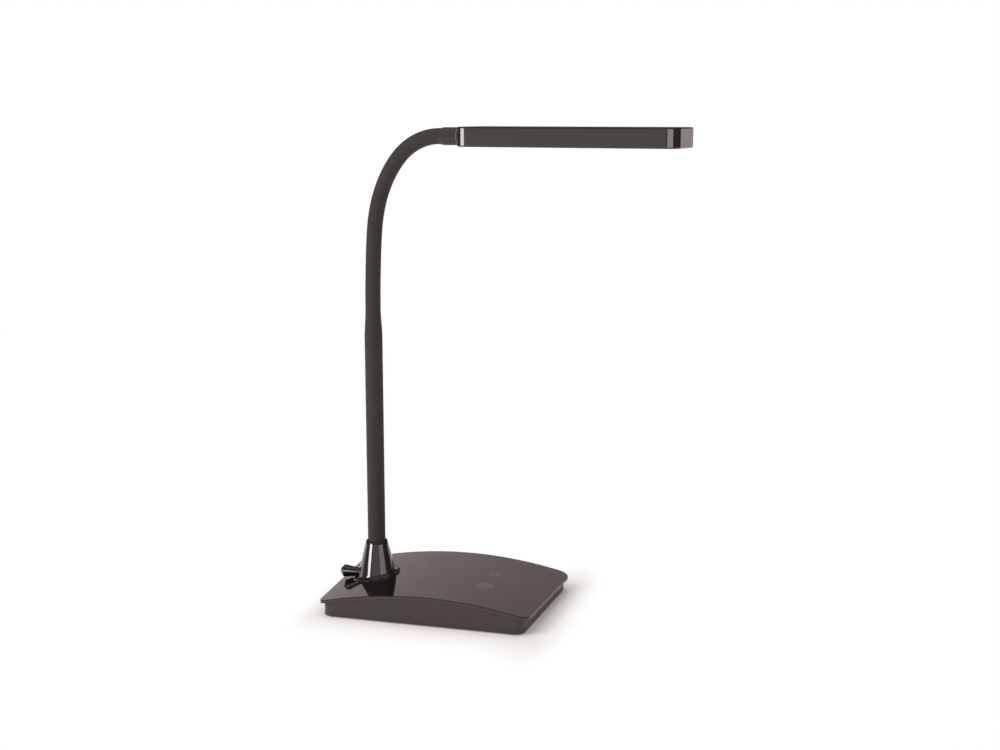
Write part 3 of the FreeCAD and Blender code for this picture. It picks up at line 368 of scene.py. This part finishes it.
stem = {"radius": 8.5 * mm, "innerRadius": 6.2 * mm, "foot": 51.2 * mm, "taperStart": 258.6 * mm,
        "taperLength": 23.5 * mm, "ringSteps": 64, "stemRings": 12, "taperRings": 16}
neck = {"outerRadius": 7.25 * mm, "innerRadius": 6.2 * mm, "ringSteps": 64, "lengthSteps": 14,
        "blendReach": 0.84}


def stemRadius(height):
    # the stem's radius, with a smooth step down to the neck's over the taper
    share = np.clip((height - stem["taperStart"]) / stem["taperLength"], 0, 1)
    eased = 0.5 * share + 0.5 * share * share * (3 - 2 * share)
    return stem["radius"] + (neck["outerRadius"] - stem["radius"]) * eased


def neckPath(pivots, firstDirection):
    # circle arcs from pivot to pivot, each starting in the direction in which the last one ended;
    # gives a function of link number and share of its length: point and direction
    directions = [firstDirection]
    for here, after in zip(pivots[:-1], pivots[1:]):
        chord = (after - here) / np.linalg.norm(after - here)
        directions.append(2 * (chord @ directions[-1]) * chord - directions[-1])

    def at(link, share):
        # share may be an array; the arc turns from one direction to the next in their common plane
        share = np.atleast_1d(share)[:, None]
        here, after, start, end = pivots[link], pivots[link + 1], directions[link], directions[link + 1]
        turn = math.acos(np.clip(start @ end, -1, 1))
        side = end - (start @ end) * start
        side = side / np.linalg.norm(side)
        radius = np.linalg.norm(after - here) / (2 * math.sin(turn / 2))
        point = here + radius * (np.sin(turn * share) * start + (1 - np.cos(turn * share)) * side)
        return point, np.cos(turn * share) * start + np.sin(turn * share) * side

    return at, directions


def pipeAlong(points, directions, across, outer, inner, steps):
    # closed pipe wall: circles of the outer radius along the path, then of the inner radius back
    angle = np.linspace(0, 2 * math.pi, steps, endpoint=False)[None, :, None]
    across = np.broadcast_to(across, directions.shape)
    other = np.cross(directions, across)
    ring = np.cos(angle) * across[:, None, :] + np.sin(angle) * other[:, None, :]
    outside = points[:, None, :] + ring * np.reshape(outer, (-1, 1, 1))
    inside = points[:, None, :] + ring * np.reshape(inner, (-1, 1, 1))
    return np.concatenate([outside, inside[::-1]])


pivotPoints = [np.array(joints["bend_%d" % k]["pos_m"], float) for k in range(1, 10)]
sideways = np.array(joints["bend_1"]["axis"], float)
up = np.array([0.0, 0.0, 1.0])
linkAt, linkDirections = neckPath(pivotPoints, up)
halfLink = np.linalg.norm(pivotPoints[1] - pivotPoints[0]) / 2
ferruleStart = 1.6 * mm

for k in range(1, 10):
    pivot = pivotPoints[k - 1]
    steps = neck["lengthSteps"]
    if k == 1:
        before = pivot + np.linspace(-halfLink, 0, steps)[:, None] * up
        beforeDirection = np.broadcast_to(up, before.shape)
    else:
        before, beforeDirection = linkAt(k - 2, np.linspace(0.5, 1, steps))
    if k == 9:
        after = pivot + np.linspace(0, ferruleStart, 3)[:, None] * linkDirections[-1]
        afterDirection = np.broadcast_to(linkDirections[-1], after.shape)
    else:
        after, afterDirection = linkAt(k - 1, np.linspace(0, 0.5, steps))
    path = np.vstack([before, after[1:]])
    heading = np.vstack([beforeDirection, afterDirection[1:]])
    radii = stemRadius(path[:, 2]) if k == 1 else np.full(len(path), neck["outerRadius"])
    wall = pipeAlong(path, heading, sideways, radii,
                     np.full(len(path), neck["innerRadius"]), neck["ringSteps"])
    cover = addLoopSurface("neckCover%d" % k, wall, materials["neckRubber"], wrapRings=True)
    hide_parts("neck_sleeve_%d" % k if k < 9 else "end_sleeve")
    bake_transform(cover)
print("neck covers: 9")


stemX = pivotPoints[0][0]
straightHeights = np.linspace(stem["foot"] + 1 * mm, stem["taperStart"], stem["stemRings"])
taperHeights = np.linspace(stem["taperStart"], pivotPoints[0][2] - halfLink, stem["taperRings"])
heights = np.concatenate([[stem["foot"]], straightHeights, taperHeights[1:]])
stemPath = np.stack([np.full(len(heights), stemX), np.zeros(len(heights)), heights], axis=-1)
stemWall = pipeAlong(stemPath, np.broadcast_to(up, stemPath.shape), sideways, stemRadius(heights),
                     np.full(len(heights), stem["innerRadius"]), stem["ringSteps"])
stemCover = addLoopSurface("stemCover", stemWall, materials["neckRubber"], wrapRings=True)
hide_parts("lower_sleeve")
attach(stemCover, "stem")
print("stem cover: done")


# Collar: one closed surface round the stem, from its rim down a cone that leans to the plate's slope

collar = {"rimHeight": 56.9, "rimRadius": 10.4, "rimRound": 1.0, "mouthRadius": 8.8, "bushTop": 50.9,
          "boreRadius": 7.05, "shankRadius": 10.0, "shankBottom": 10.2, "coneRadius": 18.6,
          "footRadius": 23.0, "footHeight": 3.0, "footEdge": 0.4, "edgeShare": 0.6, "kneeRise": 0.05,
          "seatRadius": 16.5, "skin": 0.02, "rimShift": 0.12, "rimFromDeg": 12, "mouthRound": 0.15,
          "mouthDrop": 0.2, "flareFrom": 0.02, "flareRings": 14, "coneFrom": 0.04, "coneTo": 0.965,
          "coneRings": 14, "rimRings": 8, "steps": 144}
plate = {"archRadius": 427.0, "crownHeight": 28.2, "crownShift": 4.7}
knob = {"axisHeight": 22.5, "start": 20.0, "length": 17.4, "radius": 6.1, "neckRadius": 4.25,
        "chamfer": 3.2, "boreRadius": 2.05, "boreDepth": 9.6, "clearance": 0.3,
        "rounds": (0, 0.35, 1.2, 0.8), "steps": 96}


def plateHeight(x):
    # the crowned plate's top: a circle about a line across the base, in millimetres
    return plate["crownHeight"] - plate["archRadius"] + np.sqrt(plate["archRadius"] ** 2
                                                                - (x - plate["crownShift"]) ** 2)


def collarSurface():
    # rings of (radius, height) round the stem; rings of the foot are square to the plate at the stem, those
    # of the rim are level, and the cone's are straight lines between the two, as a share of the way up
    angle = np.linspace(0, 2 * math.pi, collar["steps"], endpoint=False)
    cos, sin = np.cos(angle), np.sin(angle)
    stemPlace = stemX / mm
    seat = plateHeight(stemPlace)
    lean = math.asin((plate["crownShift"] - stemPlace) / plate["archRadius"])

    def level(radius, height):
        return np.stack([stemPlace + radius * cos, radius * sin, np.full_like(cos, height)], axis=-1)

    def leaning(radius, height):
        x, z = radius * cos, np.full_like(cos, height)
        return np.stack([stemPlace + x * math.cos(lean) - z * math.sin(lean), radius * sin,
                         seat + x * math.sin(lean) + z * math.cos(lean)], axis=-1)

    def onPlate(radius):
        x = stemPlace + radius * cos
        return np.stack([x, radius * sin, plateHeight(x)], axis=-1)

    c = collar
    bottom, top = leaning(c["coneRadius"], c["footHeight"]), level(c["rimRadius"], c["rimHeight"])
    slope = (c["coneRadius"] - c["rimRadius"]) / (c["rimHeight"] - seat - c["footHeight"])
    # flare: a quadratic curve from the foot's edge that runs on into the cone
    edge = np.array([c["footRadius"], c["footEdge"]])
    knee = np.array([c["coneRadius"] + slope * (c["footHeight"] - c["footEdge"] - c["kneeRise"]),
                     c["footEdge"] + c["kneeRise"]])
    end = np.array([c["coneRadius"], c["footHeight"]])
    rings = [onPlate(c["footRadius"]), leaning(c["footRadius"], c["footEdge"] * c["edgeShare"])]
    for t in np.linspace(c["flareFrom"], 1, c["flareRings"]):
        rings.append(leaning(*((1 - t) ** 2 * edge + 2 * t * (1 - t) * knee + t * t * end)))
    for share in np.linspace(c["coneFrom"], c["coneTo"], c["coneRings"]):
        rings.append(bottom + (top - bottom) * share)
    # rim: a quarter round from the cone to the level top, then down the mouth to the bush and back outside
    centre = c["rimRadius"] - c["rimRound"] + c["rimShift"]
    for turn in np.radians(np.linspace(c["rimFromDeg"], 90, c["rimRings"])):
        rings.append(level(centre + c["rimRound"] * math.cos(turn),
                           c["rimHeight"] - c["rimRound"] * (1 - math.sin(turn))))
    for radius, height in ((c["mouthRadius"] + c["mouthRound"], c["rimHeight"]),
                           (c["mouthRadius"], c["rimHeight"] - c["mouthDrop"]),
                           (c["mouthRadius"], c["bushTop"]), (c["boreRadius"], c["bushTop"]),
                           (c["boreRadius"], c["shankBottom"]), (c["shankRadius"], c["shankBottom"])):
        rings.append(level(radius, height))
    points = np.array(rings + [onPlate(c["shankRadius"]), onPlate(c["seatRadius"])])
    # the foot is cut back under the knob: no higher than a hollow round the knob, no lower than the plate
    hollow = knob["neckRadius"] + 2 * knob["clearance"]
    under = (points[..., 0] < stemPlace - knob["start"] + knob["clearance"]) & (abs(points[..., 1]) < hollow)
    roof = knob["axisHeight"] - np.sqrt(np.maximum(hollow ** 2 - points[..., 1] ** 2, 0))
    onTop = plateHeight(points[..., 0])
    lowered = np.maximum(np.minimum(points[..., 2], roof), onTop + c["skin"])
    points[..., 2] = np.where(under & (points[..., 2] > onTop + c["skin"] / 2), lowered, points[..., 2])
    return points * mm


collarPiece = addLoopSurface("collarCone", collarSurface(), materials["collarGloss"], wrapRings=True,
                             sharpDeg=40)
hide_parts("collar")
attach(collarPiece, "base")


def knobSurface():
    # a profile of (distance from the stem, radius) turned about the knob's level axis: the screw's blind hole
    # from the inside, a cone that widens outwards and a chamfered end
    start, end = knob["start"], knob["start"] + knob["length"]
    profile = roundedProfile([(start + knob["boreDepth"], knob["boreRadius"]), (start, knob["boreRadius"]),
                              (start, knob["neckRadius"]), (end - knob["chamfer"], knob["radius"]),
                              (end, knob["radius"] - knob["chamfer"]), (end, 0)], knob["rounds"])[:-1]
    angle = np.linspace(0, 2 * math.pi, knob["steps"], endpoint=False)
    reach, radius = profile[:, 0][:, None], profile[:, 1][:, None]
    points = np.stack([stemX / mm - reach + 0 * angle, radius * np.cos(angle),
                       knob["axisHeight"] + radius * np.sin(angle)], axis=-1)
    poles = [(stemX / mm - at, 0, knob["axisHeight"]) for at in (start + knob["boreDepth"], end)]
    return points * mm, np.array(poles) * mm


knobPiece = addTurned("knobGrip", *knobSurface(), materials["collarGloss"])
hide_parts("lock_knob")
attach(knobPiece, "lock")


# Ferrule: a soft sleeve between neck and head, a little fuller than the neck, with a thin groove at its end

ferrule = {"start": ferruleStart / mm, "end": 26.8, "shoulder": 3.4, "radius": 8.1, "lip": 7.3,
           "waist": 0.06, "grooveAt": 18.4, "grooveWidth": 1.5, "grooveDepth": 0.35, "grooveWall": 0.15,
           "grooveLip": 1.0, "endRound": 0.4, "endDrop": 0.3, "bodyFrom": 0.1, "tail": 6.0,
           "tailRadius": 6.6, "boreRadius": 5.35, "shoulderRings": 9, "bodyRings": 8, "steps": 96}


def ferruleSurface():
    # a profile of (distance from the last bending point, radius) turned about the head's long axis
    pivot, along = pivotPoints[8] / mm, linkDirections[-1]
    f = ferrule
    body = f["start"] + f["shoulder"]
    outer = []
    for share in np.linspace(0, 1, f["shoulderRings"]):
        outer.append((f["start"] + f["shoulder"] * share,
                      f["lip"] + (f["radius"] - f["lip"]) * math.sin(share * math.pi / 2)))
    for share in np.linspace(f["bodyFrom"], 1, f["bodyRings"]):
        bulge = f["waist"] * math.sin(share * math.pi)
        outer.append((body + (f["grooveAt"] - body) * share, f["radius"] - f["waist"] + bulge))
    g0, g1, floor = f["grooveAt"], f["grooveAt"] + f["grooveWidth"], f["radius"] - f["grooveDepth"]
    outer += [(g0 + f["grooveWall"], floor), (g1 - f["grooveWall"], floor), (g1, f["radius"] - f["waist"]),
              (g1 + f["grooveLip"], f["radius"]), (f["end"] - f["endRound"], f["radius"]),
              (f["end"], f["radius"] - f["endDrop"])]
    inner = [(f["end"], f["tailRadius"]), (f["end"] + f["tail"], f["tailRadius"]),
             (f["end"] + f["tail"], f["boreRadius"]), (f["start"], f["boreRadius"])]
    profile = np.array(outer + inner)
    angle = np.linspace(0, 2 * math.pi, ferrule["steps"], endpoint=False)[None, :, None]
    across = np.cross(up, along)
    points = pivot + profile[:, 0][:, None, None] * along + profile[:, 1][:, None, None] * (
        np.cos(angle) * across + np.sin(angle) * up)
    return points * mm


ferrulePiece = addLoopSurface("ferruleSleeve", ferruleSurface()[:, ::-1], materials["ferruleRubber"],
                              wrapRings=True)
# painted highlight: the groove's two walls and its floor are a lighter ring, standing in for the groove's lit
# faces
ferrulePiece.data.materials.append(materials["paintedGrooveHighlight"])
faceRing = np.arange(len(ferrulePiece.data.polygons)) // ferrule["steps"]
firstGroove = ferrule["shoulderRings"] + ferrule["bodyRings"] - 1
inGroove = (faceRing >= firstGroove) & (faceRing < firstGroove + 3)
ferrulePiece.data.polygons.foreach_set("material_index", inGroove.astype(np.int32))
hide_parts("head_ferrule")
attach(ferrulePiece, "head")
print("collar, knob and ferrule: done")


# Floor, lights and camera

studio = {"floorColour": (0.93, 0.865, 0.835), "floorHalf": 6.0, "floorRoughness": 0.9, "mottleSize": 9.0,
          "mottle": 1.01, "diffuseLight": 0.46, "halfLength": 0.104, "halfWidth": 0.070,
          "depthScale": 0.45, "rightFrom": 0.06, "rightTo": 0.12, "lift": 0.20, "liftRight": 0.06,
          "reach": 0.025, "reachRight": 0.040, "lampDistance": 3.0}


# what glossy surfaces see round the lamp: a dim room with a pale ceiling, heights in degrees
surroundings = {"front": 0.22, "back": 0.07, "backFrom": -0.5, "backTo": 0.4, "ceiling": 0.52,
                "ceilingFrom": 52, "ceilingTo": 68, "warmTint": (1.0, 0.845, 0.81)}


def buildWorld():
    # white for the camera and through glass, plain soft light on everything else, and the dim room for
    # glossy surfaces
    world = bpy.data.worlds.new("studio")
    bpy.context.scene.world = world
    world.use_nodes = True
    tree = world.node_tree
    background = tree.nodes["Background"]
    path = tree.nodes.new("ShaderNodeLightPath")
    heading = tree.nodes.new("ShaderNodeSeparateXYZ")
    link(tree, tree.nodes.new("ShaderNodeTexCoord").outputs["Generated"], heading.inputs["Vector"])
    rise = mathNode(tree, "DEGREES", mathNode(tree, "ARCSINE", heading.outputs["Z"]))
    ceiling = rampNode(tree, rise, surroundings["ceilingFrom"], surroundings["ceilingTo"], smooth=True)
    towardsBack = rampNode(tree, heading.outputs["Y"], surroundings["backFrom"], surroundings["backTo"])
    seen = mixNode(tree, "FLOAT", towardsBack, surroundings["front"], surroundings["back"])
    seen = mixNode(tree, "FLOAT", ceiling, seen, surroundings["ceiling"])
    glossy = path.outputs["Is Glossy Ray"]
    clear = mathNode(tree, "MAXIMUM", path.outputs["Is Camera Ray"], path.outputs["Is Transmission Ray"])
    strength = mixNode(tree, "FLOAT", glossy, studio["diffuseLight"], seen)
    strength = mixNode(tree, "FLOAT", clear, strength, 1.0)
    warmed = mathNode(tree, "MULTIPLY", glossy, mathNode(tree, "SUBTRACT", 1.0, clear))
    tint = mixNode(tree, "RGBA", warmed, (1.0, 1.0, 1.0), surroundings["warmTint"])
    link(tree, tint, background.inputs["Color"])
    link(tree, strength, background.inputs["Strength"])


def buildFloor():
    # a pale sheet that keeps the lamp's soft shadow; for the camera it clears to white away from the base
    half = studio["floorHalf"]
    corners = np.array([[-half, -half, 0], [half, -half, 0], [half, half, 0], [-half, half, 0]], float)
    material, tree, shader = newMaterial("paperFloor")
    coordinates = tree.nodes.new("ShaderNodeTexCoord").outputs["Object"]
    mottled = tuple(min(1, c * studio["mottle"]) for c in studio["floorColour"])
    noise = noiseNode(tree, coordinates, studio["mottleSize"], 3.0)
    tint = mixNode(tree, "RGBA", noise, studio["floorColour"], mottled)
    link(tree, tint, shader.inputs["Base Color"])
    shader.inputs["Roughness"].default_value = studio["floorRoughness"]
    shader.inputs["Specular IOR Level"].default_value = 0.0
    # distance to the base's outline, as a share of a reach that is longer to the front and on the right
    sides = tree.nodes.new("ShaderNodeSeparateXYZ")
    link(tree, coordinates, sides.inputs["Vector"])
    right = rampNode(tree, sides.outputs["X"], studio["rightFrom"], studio["rightTo"], smooth=True)
    steps = [("ABSOLUTE", None), ("SUBTRACT", (studio["halfLength"], studio["halfWidth"], 0)),
             ("MAXIMUM", (0, 0, 0)), ("MULTIPLY", (1, studio["depthScale"], 1)), ("LENGTH", None)]
    vector = coordinates
    for operation, value in steps:
        node = tree.nodes.new("ShaderNodeVectorMath")
        node.operation = operation
        link(tree, vector, node.inputs[0])
        if value is not None:
            node.inputs[1].default_value = value
        vector = node.outputs["Value" if operation == "LENGTH" else "Vector"]
    reach = mixNode(tree, "FLOAT", right, studio["reach"], studio["reachRight"])
    lift = mixNode(tree, "FLOAT", right, studio["lift"], studio["liftRight"])
    clear = rampNode(tree, vector, 0.0, reach, bottom=lift, smooth=True)
    glow = tree.nodes.new("ShaderNodeEmission")
    glow.inputs["Color"].default_value = (1, 1, 1, 1)
    path = tree.nodes.new("ShaderNodeLightPath")
    seen = mathNode(tree, "MAXIMUM", path.outputs["Is Camera Ray"], path.outputs["Is Transmission Ray"])
    mix = tree.nodes.new("ShaderNodeMixShader")
    link(tree, mathNode(tree, "MULTIPLY", seen, clear), mix.inputs["Fac"])
    link(tree, shader.outputs["BSDF"], mix.inputs[1])
    link(tree, glow.outputs["Emission"], mix.inputs[2])
    link(tree, mix.outputs["Shader"], tree.nodes["Material Output"].inputs["Surface"])
    floor = addPiece("floor", corners, [[0, 1, 2, 3]], material)


softLights = [
    # name, place, aimed at, width, height, power in watts; they light surfaces but show in no reflection
    ("keyPanel", (-1.5, -1.15, 1.35), (0, 0, 0.2), 1.2, 1.2, 27),
    ("fillPanel", (1.6, -0.9, 1.3), (0, 0, 0.2), 1.4, 1.4, 3),
    ("topPanel", (-0.1, 0.2, 1.9), (0, 0, 0.1), 1.6, 1.6, 9),
]

headStart, headTip = (0.03, -0.04, 0.447), (0.23, -0.05, 0.447)
collarMiddle, knobMiddle, plateMiddle = (-0.068, 0, 0.04), (-0.098, 0, 0.022), (0, 0, 0.025)
shownLights = [
    # name, middle, azimuth from and to (0 is the front), height from and to, both in degrees, brightness,
    # tint, what they shine on; they show only as clear edged reflections in those glossy pieces
    ("headLeft", headStart, -71, -34, -8, 5, 9.0, (1, 1, 1), ("head_housing",)),
    ("headRight", headTip, -10, 44, -8, 5, 3.4, (1, 0.85, 0.84), ("head_housing",)),
    ("headEnd", headTip, 145, 175, -8, 6, 0.6, (1, 0.86, 0.82), ("head_housing",)),
    ("headFace", headTip, -36.5, -20.5, -12, 8, 0.62, (1, 0.86, 0.84), ("head_housing",)),
    ("collarFront", collarMiddle, -50, -27, 6, 19, 9.0, (1, 1, 1), ("collarCone", "knobGrip")),
    ("collarMiddle", collarMiddle, -18, 34, 6, 19, 0.40, (1, 0.93, 0.91), ("collarCone",)),
    ("knobHigh", knobMiddle, -18, 14, 11, 20, 6.0, (1, 1, 1), ("knobGrip",)),
    ("knobLow", knobMiddle, -18, 14, -6, 1, 4.0, (1, 1, 1), ("knobGrip",)),
    ("collarSide", collarMiddle, 38, 78, 6, 19, 1.3, (1, 0.93, 0.91), ("collarCone", "knobGrip")),
]

plateWall = {"from": 138, "to": 222, "low": -12, "high": 36, "panels": 12, "dark": 0.27, "bright": 0.66,
             "tint": (1, 0.845, 0.81), "shinesOn": ("base_cover", "touch_icons")}
wallStep = (plateWall["to"] - plateWall["from"]) / plateWall["panels"]
for number in range(plateWall["panels"]):  # a wall behind the lamp that gets brighter to the left
    start = plateWall["from"] + number * wallStep
    share = math.sqrt((number + 0.5) / plateWall["panels"])
    brightness = plateWall["dark"] + (plateWall["bright"] - plateWall["dark"]) * share
    shownLights.append(("plateWall%d" % number, plateMiddle, start, start + wallStep, plateWall["low"],
                        plateWall["high"], brightness, plateWall["tint"], plateWall["shinesOn"]))


def addPanel(name, place, aim, width, height, power):
    lamp = bpy.data.lights.new(name, "AREA")
    lamp.shape = "RECTANGLE"
    lamp.size, lamp.size_y = width, height
    lamp.energy = power
    holder = bpy.data.objects.new(name, lamp)
    bpy.context.scene.collection.objects.link(holder)
    holder.location = place
    holder.rotation_euler = (Vector(aim) - Vector(place)).to_track_quat("-Z", "Y").to_euler()
    holder.visible_camera = False
    return holder


def buildLights():
    for name, place, aim, width, height, power in softLights:
        addPanel(name, place, aim, width, height, power).visible_glossy = False
    distance = studio["lampDistance"]
    for name, middle, left, right, low, high, brightness, tint, pieces in shownLights:
        turn, half = math.radians((left + right) / 2), math.radians((right - left) / 2)
        bottom, top = (distance * math.tan(math.radians(angle)) for angle in (low, high))
        foot = Vector(middle) + Vector((0, 0, (bottom + top) / 2))
        place = foot + distance * Vector((math.sin(turn), -math.cos(turn), 0))
        width, height = 2 * distance * math.tan(half), top - bottom
        holder = addPanel(name, place, foot, width, height, brightness * math.pi * width * height)
        holder.data.color = tint
        holder.visible_diffuse = False
        holder.visible_transmission = False
        targets = bpy.data.collections.new(name + "Targets")
        for piece in pieces:
            targets.objects.link(nodes[piece] if piece in nodes else bpy.data.objects[piece])
        holder.light_linking.receiver_collection = targets


view = {"place": (0.4090, -1.2649, 0.4687), "turnDeg": 15.56, "downDeg": 10.44, "lensMm": 51.48,
        "sensorMm": 36.0, "clip": (0.01, 50)}


def buildCamera():
    camera = bpy.data.cameras.new("photoView")
    camera.lens, camera.sensor_width = view["lensMm"], view["sensorMm"]
    camera.sensor_fit = "HORIZONTAL"
    camera.clip_start, camera.clip_end = view["clip"]
    holder = bpy.data.objects.new("photoView", camera)
    holder.location = view["place"]
    holder.rotation_euler = (math.radians(90 - view["downDeg"]), 0, math.radians(view["turnDeg"]))
    bpy.context.scene.collection.objects.link(holder)
    bpy.context.scene.camera = holder


buildWorld()
buildFloor()
buildLights()
buildCamera()
bpy.context.scene.view_settings.view_transform = "Standard"
print("studio: done")
